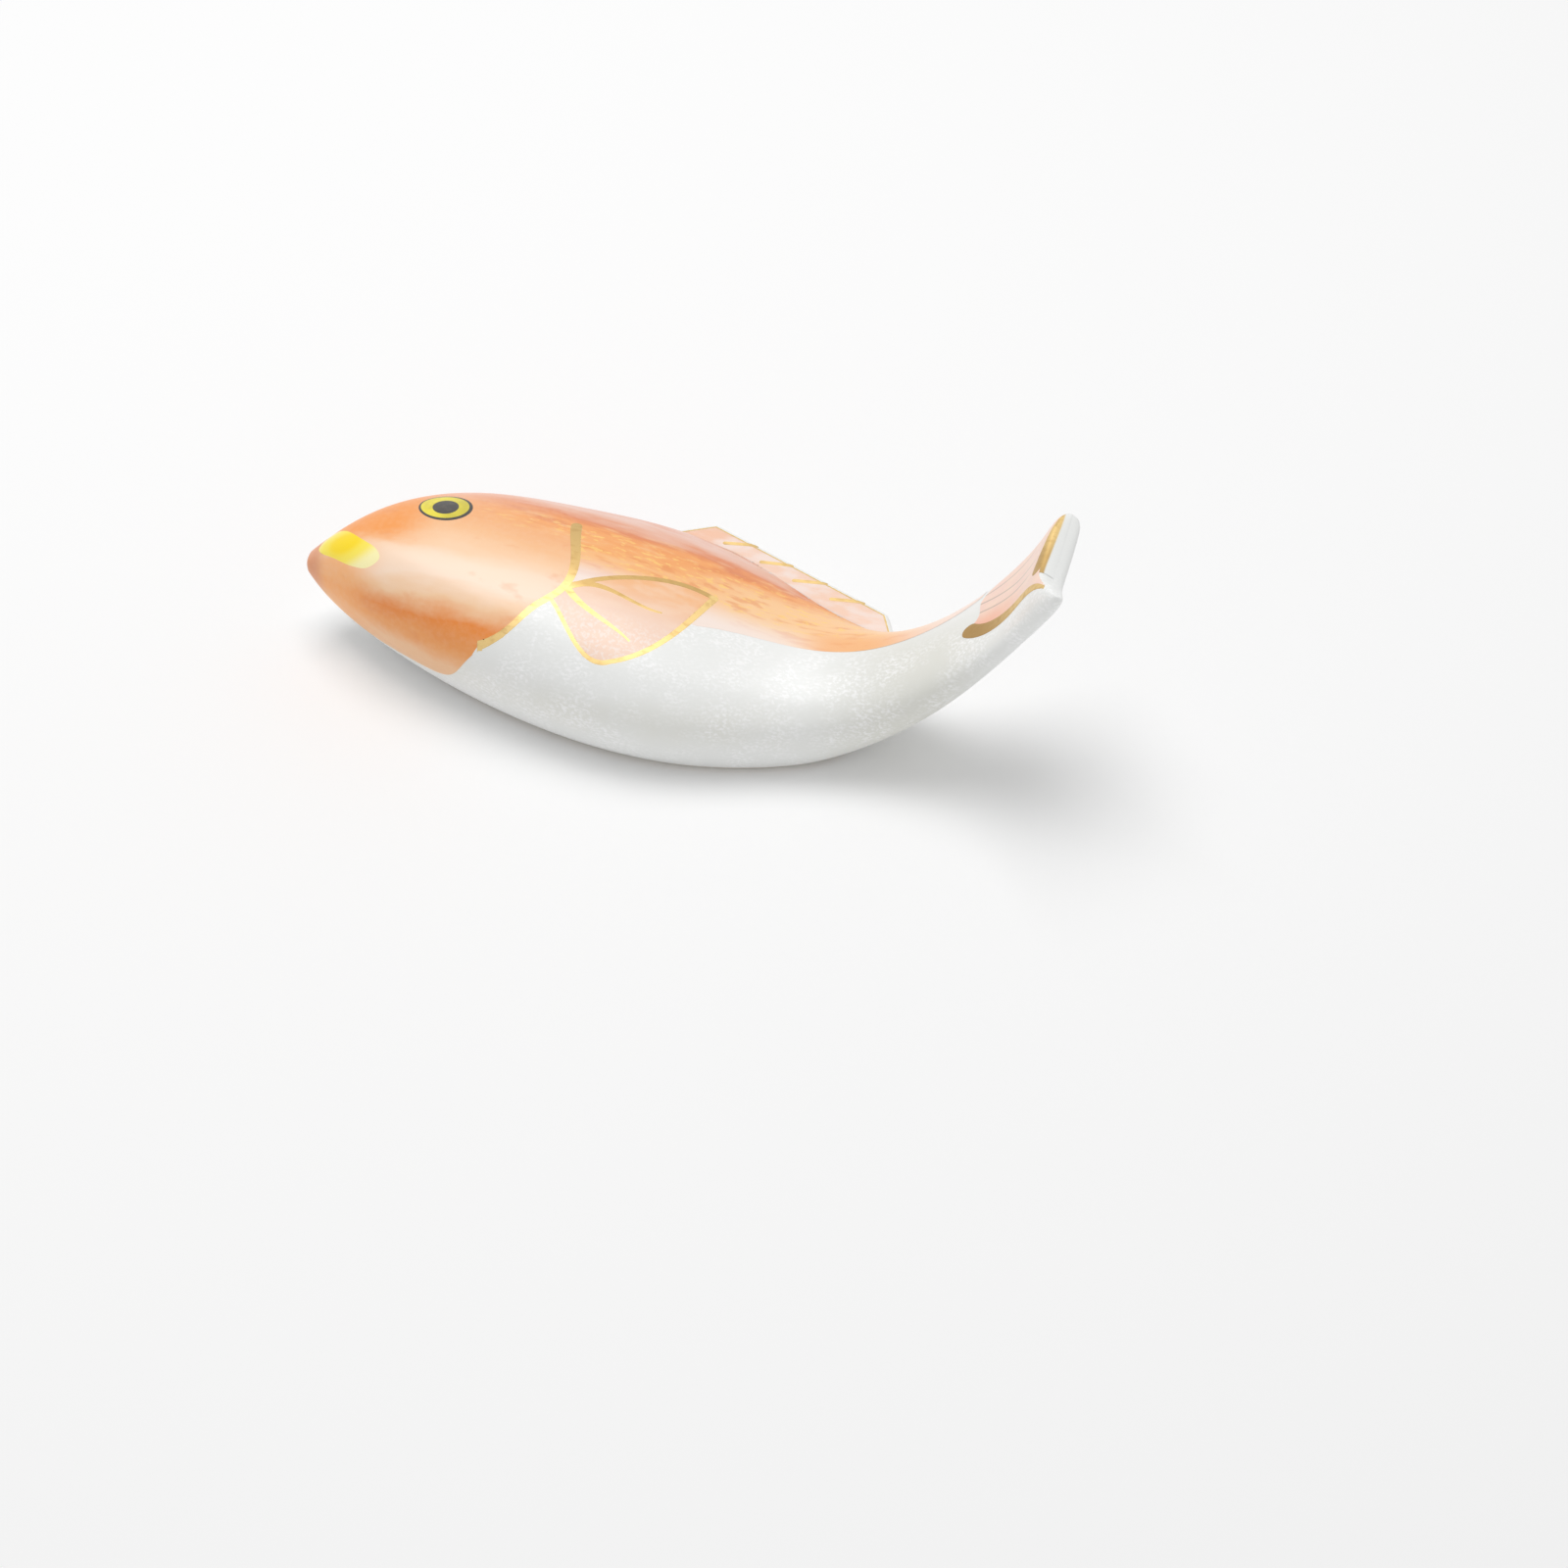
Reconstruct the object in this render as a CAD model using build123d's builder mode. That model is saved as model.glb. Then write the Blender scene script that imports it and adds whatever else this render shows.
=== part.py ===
"""Porcelain chopstick rest: a painted fish that lies on its flank, with its tail raised behind the dip.

Millimetres. The foot stands on Z = 0 with its middle at the origin; the mouth points to -X, the back to +Y.
"""

import os
from math import cos, radians, sin
from typing import NamedTuple

from build123d import *


class Station(NamedTuple):
    """One cross-section of the fish, square to its spine and placed from the section ahead of it."""

    run: float  # behind the section ahead
    rise: float  # above the section ahead; the first one, above the table
    back: float  # reach from the spine to the back
    belly: float  # reach to the belly
    crown: float  # reach up
    keel: float  # reach down
    climb: float = 0.0  # slope of the spine, in degrees
    fullness: float = 0.63  # 0.55 is an ellipse, 1 is a box


# Cross-sections from the mouth to the end of the tail
lips = Station(run=-0.4, rise=8.0, back=0.8, belly=0.9, crown=0.5, keel=1.0)
snout = Station(run=4.4, rise=-0.3, back=5.0, belly=3.3, crown=4.5, keel=4.9)
brow = Station(run=8.0, rise=-0.2, back=10.4, belly=7.1, crown=6.3, keel=7.6)
shoulder = Station(run=10.4, rise=-1.3, back=12.4, belly=10.0, crown=7.1, keel=8.5)
paunch = Station(run=11.2, rise=-0.8, back=12.6, belly=11.4, crown=6.1, keel=8.3)
loin = Station(run=11.2, rise=-0.4, back=8.5, belly=9.1, crown=4.1, keel=7.9, climb=5.0)
wrist = Station(run=9.8, rise=2.3, back=3.7, belly=6.7, crown=3.3, keel=4.0, climb=28.0, fullness=0.66)
tail_root = Station(run=7.7, rise=6.2, back=4.8, belly=5.4, crown=2.0, keel=1.9, climb=48.0, fullness=0.74)
tail_web = Station(run=4.5, rise=5.8, back=7.1, belly=5.4, crown=1.6, keel=1.1, climb=54.0, fullness=0.80)
tail_end = Station(run=4.2, rise=8.0, back=9.3, belly=6.7, crown=1.0, keel=0.6, climb=58.0, fullness=0.85)
stations = [lips, snout, brow, shoulder, paunch, loin, wrist, tail_root, tail_web, tail_end]

# Foot: its middle lies this far behind the mouth, and a shallow oval is sunk in it
foot_centre = 31.0
recess_x = 32.8
recess_y = 1.0
recess_half_length = 14.6
recess_half_width = 6.2
recess_turn = -6.0
recess_depth = 0.25

# Tail fork, on the blade of the tail: along it from the tail end, and across it towards the back
fork_notch = (-3.7, -2.3)
upper_lobe_tip = (-4.1, 10.0)
lower_lobe_tip = (-0.4, -7.2)

# Dorsal fin: a plate whose outline starts and ends inside the back
fin_level = 6.4
fin_thickness = 1.7
fin_edge_radius = 0.4
fin_corner_radius = 0.7
fin_front_base = (28.5, 12.1)
fin_front_tip = (34.2, 15.0)
fin_rear_tip = (52.4, 7.4)
fin_rear_base = (54.0, 4.0)
fin_root_front = (34.0, 8.0)
fin_root_rear = (49.0, 3.0)

# Coats
enamel_thickness = 0.12
gilding_thickness = 0.20

# Eye
eye_x = 11.6
eye_y = 4.45
eye_length = 5.0
eye_width = 4.4
eye_line = 0.26
iris_shift = (-0.09, 0.09)
pupil_diameter = 2.4

# Face painting seen from above: behind the mouth, and towards the back
snout_patch = [
    (0.75, -0.3),
    (1.05, 0.5),
    (1.75, 1.15),
    (2.6, 1.0),
    (4.5, -0.35),
    (6.1, -1.45),
    (7.3, -2.35),
    (7.6, -3.0),
    (6.8, -3.55),
    (5.7, -3.4),
    (4.6, -2.95),
    (3.1, -2.1),
    (1.95, -1.42),
    (1.2, -0.95),
]
gill_path = [(23.6, 5.8), (24.0, 4.2), (24.9, 0.8), (24.9, -2.4), (23.6, -4.1), (21.9, -6.6), (18.4, -8.6)]
gill_top_width = 1.0
gill_end_width = 0.4
head_back_end = (23.0, 18.0)
head_belly_end = (15.2, -10.5)

# Pectoral fin seen from above
pectoral_root = (25.1, -2.4)
pectoral_top = [pectoral_root, (27.3, -0.6), (31.3, 1.4), (35.0, 2.2), (37.6, 1.9)]
pectoral_rear = [(37.6, 1.9), (36.4, -1.5), (33.6, -6.3), (30.7, -8.3)]
pectoral_front = [(30.7, -8.3), (29.4, -8.6), (28.1, -8.1), (26.2, -6.4), (24.8, -4.8), (23.6, -3.7)]
pectoral_rays = [
    [pectoral_root, (27.0, -1.3), (30.2, -1.6), (33.8, -2.0)],
    [pectoral_root, (26.6, -3.6), (29.0, -4.7), (31.9, -6.0)],
]
pectoral_line = 0.5
pectoral_rear_line = 0.65
pectoral_front_line = 0.35
ray_root_width = 0.7
ray_tip_width = 0.16

# Back painting seen from above: its front lies under the head, its hem runs along the flank to the tail
back_front = 21.0
back_hem = [(37.0, -2.0), (42.8, -0.9), (48.0, -0.7), (53.0, -0.3), (58.0, 1.1), (61.7, 3.2)]
back_end = (62.4, 8.0)

# Lowest reach of the washes, seen from the side: behind the mouth, and height
head_hem = [(0.0, 5.6), (2.0, 4.8), (6.0, 3.9), (11.0, 4.0), (15.2, 4.6), (17.1, 7.3), (18.4, 9.1)]
rim = [(0.0, 6.8), (4.0, 6.6), (12.0, 6.2), (22.0, 4.8), (30.0, 6.6), (53.0, 6.6), (58.0, 9.2), (64.0, 16.0)]

# Dorsal fin painting seen from above
fin_wash_margin = 0.45
fin_edge_line = 0.15
fin_ray_width = 0.40
fin_rays = [
    [(35.6, 12.5), (38.7, 13.0)],
    [(39.5, 10.9), (42.5, 11.2)],
    [(43.0, 9.3), (46.1, 9.7)],
    [(46.9, 7.8), (50.0, 8.2)],
]

# Tail painting on the blade
tail_front = [(-15.3, -1.2), (-14.2, 0.4), (-14.6, 2.1), (-13.2, 5.0), (-12.6, 9.0)]
tail_edge_path = [(-14.8, -1.4), (-13.2, -2.15), (-10.8, -2.5), (-7.7, -2.7), (-4.6, -3.6), (-2.3, -4.8)]
tail_edge_start = 1.6
tail_edge_end = 0.5
lobe_edge_path = [(-4.5, -1.3), (-4.1, 1.0), (-3.8, 3.5), (-3.5, 6.0), (-3.2, 8.3)]
lobe_edge_start = 1.3
lobe_edge_end = 0.9
lobe_wall_ends = (0.02, 0.9)
lobe_wall_level = 0.1

# Room for the cuts: ahead of the mouth, behind the tail, overhead and out to each side
ahead = -3.0
behind = 80.0
sky = 40.0
wide = 30.0

plan_view = Plane(origin=(-foot_centre, 0, 0))
side_view = Plane(origin=(-foot_centre, 0, 0), x_dir=(1, 0, 0), z_dir=(0, -1, 0))


def spine_point(station):
    """Where the spine meets a cross-section: behind the mouth, and height."""
    reached = stations[: stations.index(station) + 1]
    return sum(part.run for part in reached), sum(part.rise for part in reached)


def section_plane(station):
    """The plane of a cross-section: its X runs to the back, its normal along the spine to the tail."""
    climb = radians(station.climb)
    x, level = spine_point(station)
    return Plane(origin=(x - foot_centre, 0, level), x_dir=(0, 1, 0), z_dir=(cos(climb), 0, sin(climb)))


def blade_plane():
    """The plane of the tail blade: its X runs along the blade to the tail end, its Y to the back."""
    climb = radians(tail_end.climb)
    x, level = spine_point(tail_end)
    along = (cos(climb), 0, sin(climb))
    return Plane(origin=(x - foot_centre, 0, level), x_dir=along, z_dir=(-sin(climb), 0, cos(climb)))


def section(station, swell):
    """One cross-section: four quarter curves about the spine, each reaching out by swell more."""
    back = station.back + swell
    belly = station.belly + swell
    crown = station.crown + swell
    keel = station.keel + swell
    pull = station.fullness
    corners = [(back, 0), (0, crown), (-belly, 0), (0, -keel)]
    quarters = []
    for (y1, z1), (y2, z2) in zip(corners, corners[1:] + corners[:1]):
        leave = (y1 + pull * y2, z1 + pull * z2)
        arrive = (y2 + pull * y1, z2 + pull * z1)
        quarters.append(Bezier((y1, z1), leave, arrive, (y2, z2)))
    return section_plane(station) * Face(Wire(quarters))


def fish_form(swell=0.0):
    """The whole fish as one smooth form, grown by swell all round and ahead of the mouth."""
    faces = [section(station, swell) for station in stations]
    faces[0] = Pos(-swell, 0, 0) * faces[0]
    with BuildPart() as form:
        loft(sections=faces)
    return form.part


def room_above(line, side):
    """All that lies higher than a line seen from the side; side is 1 for the belly, -1 for the back."""
    with BuildPart() as room:
        with BuildSketch(side_view):
            with BuildLine():
                low = Spline(*line)
                first = low @ 0
                last = low @ 1
                Polyline(last, (behind, last.Y), (behind, sky), (ahead, sky), (ahead, first.Y), first)
            make_face()
        extrude(amount=side * wide)
    return room.part


def area(*paths):
    """The face inside smooth paths drawn end to end."""
    with BuildSketch(Plane.XY) as face:
        with BuildLine():
            for path in paths:
                Spline(*path)
        make_face()
    return face.sketch


def brush_stroke(path, start_width, end_width):
    """A stroke along a path with a round start, whose width runs from start_width to end_width."""
    line = Spline(*path)
    left = []
    right = []
    for step in range(len(path)):
        along = step / (len(path) - 1)
        half = (start_width + (end_width - start_width) * along) / 2
        normal = (line % along).rotate(Axis.Z, 90) * half
        left.append(line @ along + normal)
        right.append(line @ along - normal)
    right.reverse()
    round_start = Pos(*path[0]) * Circle(start_width / 2)
    return area(left, [left[-1], right[0]], right, [right[-1], left[0]]) + round_start


clay = fish_form()
enamel_form = fish_form(enamel_thickness)
gilding_form = fish_form(gilding_thickness)
blade = blade_plane()
spine = [spine_point(station) for station in stations]
upper_side = room_above(spine, 1) + room_above(spine, -1)


def coat(outline, form, room=upper_side):
    """The coat between the clay and a swelled form, inside an outline and a room."""
    with BuildPart() as layer:
        extrude(outline, amount=sky, both=True)
        add(form, mode=Mode.INTERSECT)
        add(room, mode=Mode.INTERSECT)
        add(clay, mode=Mode.SUBTRACT)
    return layer.part


def save(piece, name):
    """Labels a finished piece and writes it."""
    piece.label = name
    export_step(piece, f"parts/{name}.step")


# Dorsal fin: a plate along the back, cut to the body
fin_corners = [fin_front_base, fin_front_tip, fin_rear_tip, fin_rear_base, fin_root_rear, fin_root_front]
with BuildPart() as dorsal_fin:
    with BuildSketch(plan_view.offset(fin_level - fin_thickness / 2)) as fin_outline:
        with BuildLine():
            Polyline(*fin_corners, close=True)
        make_face()
        tips = fin_outline.vertices().sort_by(Axis.Y)[-1:] + fin_outline.vertices().sort_by(Axis.X)[-2:-1]
        fillet(tips, radius=fin_corner_radius)
    extrude(amount=fin_thickness)
    fillet(dorsal_fin.edges().group_by(Axis.Z)[0], radius=fin_edge_radius)
    fillet(dorsal_fin.edges().group_by(Axis.Z)[-1], radius=fin_edge_radius)
    add(clay, mode=Mode.SUBTRACT)

# Body: the form up to the wrist, cut flat for the foot
with BuildPart() as fish_body:
    add(clay)
    split(bisect_by=section_plane(wrist), keep=Keep.BOTTOM)
    split(bisect_by=Plane.XY, keep=Keep.TOP)
    with BuildSketch(plan_view):
        with Locations((recess_x, recess_y)):
            Ellipse(recess_half_length, recess_half_width, rotation=recess_turn)
    extrude(amount=recess_depth, mode=Mode.SUBTRACT)

# Tail: the form past the wrist, forked at its end
fork_rear = [(wide, upper_lobe_tip[1]), (wide, lower_lobe_tip[1])]
fork_corners = [fork_notch, upper_lobe_tip] + fork_rear + [lower_lobe_tip]
with BuildSketch(Plane.XY) as fork:
    with BuildLine():
        Polyline(*fork_corners, close=True)
    make_face()
with BuildPart() as tail_fin:
    add(clay)
    split(bisect_by=section_plane(wrist), keep=Keep.TOP)
    extrude(blade * fork.sketch, amount=wide, both=True, mode=Mode.SUBTRACT)

# Areas of the painting seen from above
eye_place = Pos(eye_x, eye_y)
eye_area = eye_place * Ellipse(eye_length / 2, eye_width / 2)
iris_area = eye_place * Pos(*iris_shift) * Ellipse(eye_length / 2 - eye_line, eye_width / 2 - eye_line)
pupil_area = eye_place * Circle(pupil_diameter / 2)
with BuildSketch(Plane.XY) as snout_face:
    with BuildLine():
        Spline(*snout_patch, periodic=True)
    make_face()
snout_area = snout_face.sketch
gill_area = brush_stroke(gill_path, gill_top_width, gill_end_width)
gill_edge = [head_back_end] + gill_path + [head_belly_end]
head_front_corners = [(ahead, head_belly_end[1]), (ahead, head_back_end[1])]
head_area = area(
    gill_edge,
    [head_belly_end, head_front_corners[0]],
    head_front_corners,
    [head_front_corners[1], head_back_end],
)
pectoral_lines = (
    brush_stroke(pectoral_top, pectoral_line, pectoral_line)
    + brush_stroke(pectoral_rear, pectoral_rear_line, pectoral_front_line)
    + brush_stroke(pectoral_front, pectoral_front_line, pectoral_front_line)
    + [brush_stroke(ray, ray_root_width, ray_tip_width) for ray in pectoral_rays]
    - gill_area
    - head_area
)
pectoral_edges = [pectoral_top, pectoral_rear, pectoral_front, [pectoral_front[-1], pectoral_root]]
pectoral_area = area(*pectoral_edges) + pectoral_lines - gill_area - head_area
back_corners = [back_end, (back_end[0], head_back_end[1]), (back_front, head_back_end[1])]
back_start = (back_front, pectoral_root[1])
back_area = area(
    [back_start, back_hem[0]],
    back_hem,
    [back_hem[-1], back_corners[0]],
    back_corners[:2],
    back_corners[1:],
    [back_corners[2], back_start],
)

os.makedirs("parts", exist_ok=True)
save(fish_body.part, "fish_body")
save(tail_fin.part, "tail_fin")
save(dorsal_fin.part, "dorsal_fin")

# Face
head_room = room_above(head_hem, 1) + room_above(rim, -1)
head_wash = head_area - gill_area - eye_area - snout_area
save(coat(plan_view * head_wash, enamel_form, head_room), "head_enamel")
save(coat(plan_view * snout_area, enamel_form), "snout_enamel")
save(coat(plan_view * (eye_area - iris_area), enamel_form), "eye_outline")
save(coat(plan_view * (iris_area - pupil_area), enamel_form), "eye_iris")
save(coat(plan_view * pupil_area, enamel_form), "eye_pupil")
save(coat(plan_view * gill_area, gilding_form), "gill_gilding")

# Flank
back_room = room_above(spine, 1) + room_above(rim, -1)
back_wash = back_area - head_area - gill_area - pectoral_area
back_enamel = coat(plan_view * back_wash, enamel_form, back_room) - dorsal_fin.part
save(back_enamel, "back_enamel")
save(coat(plan_view * (pectoral_area - pectoral_lines), enamel_form), "pectoral_fin_enamel")
save(coat(plan_view * pectoral_lines, gilding_form), "pectoral_fin_gilding")

# Dorsal fin
fin_top = plan_view.offset(fin_level + fin_thickness / 2)
with BuildSketch(Plane.XY) as fin_face:
    with BuildLine():
        Polyline(*fin_corners, close=True)
    make_face()
    offset(amount=-fin_wash_margin, kind=Kind.INTERSECTION)
with BuildSketch(Plane.XY) as fin_inner_face:
    add(fin_face.sketch)
    offset(amount=-fin_edge_line, kind=Kind.INTERSECTION)
fin_strokes = fin_face.sketch - fin_inner_face.sketch
fin_lines = fin_strokes + [brush_stroke(ray, fin_ray_width, fin_ray_width) for ray in fin_rays]
with BuildPart() as dorsal_fin_gilding:
    extrude(fin_top * fin_lines, amount=gilding_thickness)
    add(enamel_form, mode=Mode.SUBTRACT)
with BuildPart() as dorsal_fin_enamel:
    extrude(fin_top * (fin_face.sketch - fin_lines), amount=enamel_thickness)
    add(enamel_form, mode=Mode.SUBTRACT)
save(dorsal_fin_gilding.part, "dorsal_fin_gilding")
save(dorsal_fin_enamel.part, "dorsal_fin_enamel")

# Tail
tail_edge = brush_stroke(tail_edge_path, tail_edge_start, tail_edge_end) - fork.sketch
lobe_edge = brush_stroke(lobe_edge_path, lobe_edge_start, lobe_edge_end) - fork.sketch
tail_corner = (0, tail_front[-1][1])
tail_area = area(
    tail_front,
    [tail_front[-1], tail_corner],
    [tail_corner, tail_edge_path[-1]],
    tail_edge_path[::-1],
    [tail_edge_path[0], tail_front[0]],
)
tail_wash = tail_area - fork.sketch - tail_edge - lobe_edge
save(coat(blade * tail_wash, enamel_form) - back_enamel, "tail_fin_enamel")
save(coat(blade * tail_edge, gilding_form), "tail_edge_gilding")
lobe_line = Line(fork_notch, upper_lobe_tip)
wall_start = lobe_line @ lobe_wall_ends[0]
wall_end = lobe_line @ lobe_wall_ends[1]
wall_depth = Vector(gilding_thickness, 0)
with BuildSketch(Plane.XY) as lobe_wall_plan:
    with BuildLine():
        Polyline(wall_start, wall_end, wall_end + wall_depth, wall_start + wall_depth, close=True)
    make_face()
with BuildPart() as lobe_wall:
    extrude(blade * lobe_wall_plan.sketch, amount=wide, both=True)
    add(gilding_form, mode=Mode.INTERSECT)
    split(bisect_by=blade.offset(lobe_wall_level), keep=Keep.TOP)
save(coat(blade * lobe_edge, gilding_form) + lobe_wall.part, "tail_lobe_gilding")
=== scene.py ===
"""Dresses the fish-shaped porcelain chopstick rest: glaze, brushed washes, enamel and gilding."""

from math import radians

import bmesh
import bpy
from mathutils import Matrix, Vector
from mathutils.bvhtree import BVHTree


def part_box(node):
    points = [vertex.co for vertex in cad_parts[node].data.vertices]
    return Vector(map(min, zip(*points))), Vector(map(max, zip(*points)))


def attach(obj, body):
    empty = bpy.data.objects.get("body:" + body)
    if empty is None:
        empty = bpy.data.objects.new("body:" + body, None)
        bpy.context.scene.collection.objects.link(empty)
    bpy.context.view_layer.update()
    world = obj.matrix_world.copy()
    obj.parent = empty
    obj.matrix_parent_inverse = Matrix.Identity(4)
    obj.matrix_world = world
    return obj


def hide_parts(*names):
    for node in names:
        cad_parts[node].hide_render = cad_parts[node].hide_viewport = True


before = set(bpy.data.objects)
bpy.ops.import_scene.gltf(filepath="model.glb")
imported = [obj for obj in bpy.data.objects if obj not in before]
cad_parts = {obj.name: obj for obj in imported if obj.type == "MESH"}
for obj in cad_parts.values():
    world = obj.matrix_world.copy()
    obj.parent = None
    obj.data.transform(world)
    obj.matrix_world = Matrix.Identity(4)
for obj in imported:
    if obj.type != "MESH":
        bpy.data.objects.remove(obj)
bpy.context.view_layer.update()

bl_info = {
    "name": "Fish chopstick rest",
    "version": (1, 0, 0),
    "blender": (4, 5, 0),
    "location": "View3D > Sidebar > Fish rest",
    "description": "Dresses a porcelain chopstick rest shaped as a fish",
    "category": "Object",
}

MILLIMETRE = 0.001
LIP_REACH = 0.4 * MILLIMETRE  # how far the lips lie ahead of the point the painting is measured from
MOUTH_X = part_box("fish_body")[0].x + LIP_REACH
BODY = "root"
CLAY_NODES = ("fish_body", "tail_fin", "dorsal_fin")

# The porcelain skin
WELD = 0.001 * MILLIMETRE  # vertices nearer than this are one
SMOOTHING = 0.5  # share of the way to its neighbours' middle that a vertex moves in a round
TAIL_START = 60.0  # mm behind the mouth
TAIL_BLEND = 4.0  # mm over which the rounding of the tail sets in

# The coats
COAT_STEP = 0.3 * MILLIMETRE  # edges longer than this are halved
COAT_SPLITS = 5  # rounds of halving
COAT_SUNK = 0.06 * MILLIMETRE  # how deep a coat's lower side is set into the glaze
WASH_HEIGHT = 0.02 * MILLIMETRE  # how far the washes stand out from the glaze
WASH_UPPER = 0.08 * MILLIMETRE  # what lies farther than this from the clay is a wash's upper side
GOLD_HEIGHT = 0.03 * MILLIMETRE
GOLD_UPPER = 0.13 * MILLIMETRE

# The painting, in mm: X behind the mouth, Y to the back, Z above the table
SPINE_LEVEL = 6.5  # about the middle of the body
SNOUT_MIDDLE = (3.7, -0.9, 11.8)  # brightest point of the snout patch
SNOUT_SPREAD = (0.55, 1.0, 0.6)  # how fast the patch pales along X, Y and Z
RAY_FOOT = 16.0  # height at which the tail's rays start
RAY_FADE = 2.0  # length over which a ray ends
TAIL_RAYS = ((0.6, -0.16, 23.5), (1.9, -0.13, 24.0), (3.1, 0.16, 22.5))  # Y at the foot, slope, top
TAIL_END = (71.0, 0.0, 27.3)  # middle of the tail's end
TAIL_NORMAL = (-0.848, 0.0, 0.53)  # out of the inner face of the tail, which climbs at 58 degrees
WORN_LEVEL = 0.95  # out of the tail's middle, up to where the gold is worn off the upper lobe
WORN_SLOPE = -0.05  # change of that level per mm to the back
FIN_FOOT_SLANT = 0.42  # how much nearer to the spine the dorsal fin's foot gets, per mm to the rear
PECTORAL_SLANT = -0.35  # lean of the pectoral fin's rear edge

# The fired surfaces
NOISE_MIDDLE = 0.5  # mean of the noise in a cloud
RELIEF_HEIGHT = 0.03 * MILLIMETRE
RELIEF_STRENGTH = 0.25
GLAZE_ROUGHNESS = 0.36
CLAY_ROUGHNESS = 0.85
GOLD_ROUGHNESS = (0.38, 0.58)  # least and most, by the brush marks
GOLD_METALLIC = 0.85

# The stage
FLOOR_REACH = 2.0  # metres from the middle of the floor to its sides
NEAREST_SEEN = 0.01  # metres ahead of the camera


def linear(code):
    """A hex sRGB colour as linear red, green, blue and a full alpha, by the curve of sRGB."""
    parts = [int(code[i : i + 2], 16) / 255 for i in (1, 3, 5)]
    return tuple(p / 12.92 if p <= 0.04045 else ((p + 0.055) / 1.055) ** 2.4 for p in parts) + (1.0,)


def colour(name, description, code):
    """A colour that a user may change."""
    return bpy.props.FloatVectorProperty(
        name=name, description=description, subtype="COLOR", size=4, min=0, max=1, default=linear(code)
    )


def length(name, description, metres):
    """A length that a user may change."""
    return bpy.props.FloatProperty(
        name=name, description=description, default=metres, unit="LENGTH", precision=5
    )


def spot(name, description, metres):
    """A place on the stage that a user may change."""
    return bpy.props.FloatVectorProperty(
        name=name, description=description, default=metres, subtype="TRANSLATION"
    )


class GlazeSettings(bpy.types.PropertyGroup):
    """The porcelain under the painting."""

    glaze: colour("Glaze", "Cool white of the glazed porcelain", "#EFF0EE")
    # Painted shade: the greener tone of the band low on the belly
    shade: colour("Pooled glaze", "Greener tone where the glaze lies thicker", "#EAEAE4")
    clay: colour("Bare clay", "Cream of the unglazed foot", "#F0EEE4")
    glaze_line: colour("Glaze line", "Brown line where the glaze ends at the foot", "#B79A7C")
    skin_step: length("Skin step", "Spacing of the porcelain's mesh", 0.00024)
    softening: bpy.props.IntProperty(
        name="Softening", description="Rounds of smoothing of the clay", default=10
    )
    tail_softening: bpy.props.IntProperty(
        name="Tail softening", description="Further rounds of smoothing on the tail", default=60
    )


class WashSettings(bpy.types.PropertyGroup):
    """The brushed overglaze washes."""

    rim: colour("Rim", "Orange on the edge under the back", "#DC6A34")
    ridge: colour("Ridge", "Reddish band along the back", "#E28A5A")
    orange: colour("Orange", "Middle tone of head and back", "#F7AE6C")
    peach: colour("Peach", "Thin wash", "#F7C09A")
    cheek: colour("Cheek", "Palest wash on the cheek", "#FCE0C8")
    jaw: colour("Jaw", "Strong wash along the jaw", "#EE8C3A")
    pink: colour("Pink", "Wash on the tail", "#F5D3C4")
    dorsal: colour("Dorsal fin", "Wash on the dorsal fin where it lies thick", "#F6D2BC")
    frost: colour("Frost", "White flecks in the pectoral fin", "#FBF3EE")
    fleck: colour("Gold fleck", "Flecks of gold in the back", "#FFD27C")
    ray: colour("Ray", "Thin grey rays of the tail", "#A89C8C")


class FaceSettings(bpy.types.PropertyGroup):
    """The snout and the eye."""

    yellow: colour("Yellow", "Bright middle of the snout patch", "#FFDE00")
    pale: colour("Pale yellow", "Edge of the snout patch", "#FFF6B8")
    iris: colour("Iris", "Yellow ring of the eye", "#F0E03A")
    ink: colour("Ink", "Outline and pupil of the eye", "#3E3A36")


class GildingSettings(bpy.types.PropertyGroup):
    """The burnished gold lines."""

    # Olive gold is painted dark reflection on the gill, the pectoral fin and the tail's edge, and the colour
    # of the gold's brush marks and other olive parts
    bright: colour("Bright gold", "Gold where it lies thick", "#E2C486")
    olive: colour("Olive gold", "Gold where it lies thin over the wash", "#AC8850")


class StageSettings(bpy.types.PropertyGroup):
    """Floor, light and camera."""

    floor: colour("Floor", "Plain pale floor", "#FBFBFB")
    sky: bpy.props.FloatProperty(
        name="Sky", description="Strength of the white surroundings", default=0.56
    )
    softbox_size: length("Softbox", "Side of the square softbox", 0.32)
    softbox_power: bpy.props.FloatProperty(
        name="Power", description="Power of the softbox", default=1.26, unit="POWER"
    )
    softbox_place: spot("Softbox place", "Where the softbox hangs", (-0.08, 0.09, 0.49))
    camera_place: spot("Camera", "Where the camera stands", (0.0929, -0.3004, 0.3123))
    camera_target: spot("Target", "What the camera looks at", (0.0159, -0.00906, 0.0))
    camera_angle: bpy.props.FloatProperty(
        name="Angle of view", description="Across the square picture", default=radians(18.37), subtype="ANGLE"
    )


class FishRestSettings(bpy.types.PropertyGroup):
    """All settings of the rest."""

    glaze: bpy.props.PointerProperty(type=GlazeSettings)
    wash: bpy.props.PointerProperty(type=WashSettings)
    face: bpy.props.PointerProperty(type=FaceSettings)
    gilding: bpy.props.PointerProperty(type=GildingSettings)
    stage: bpy.props.PointerProperty(type=StageSettings)


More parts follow.
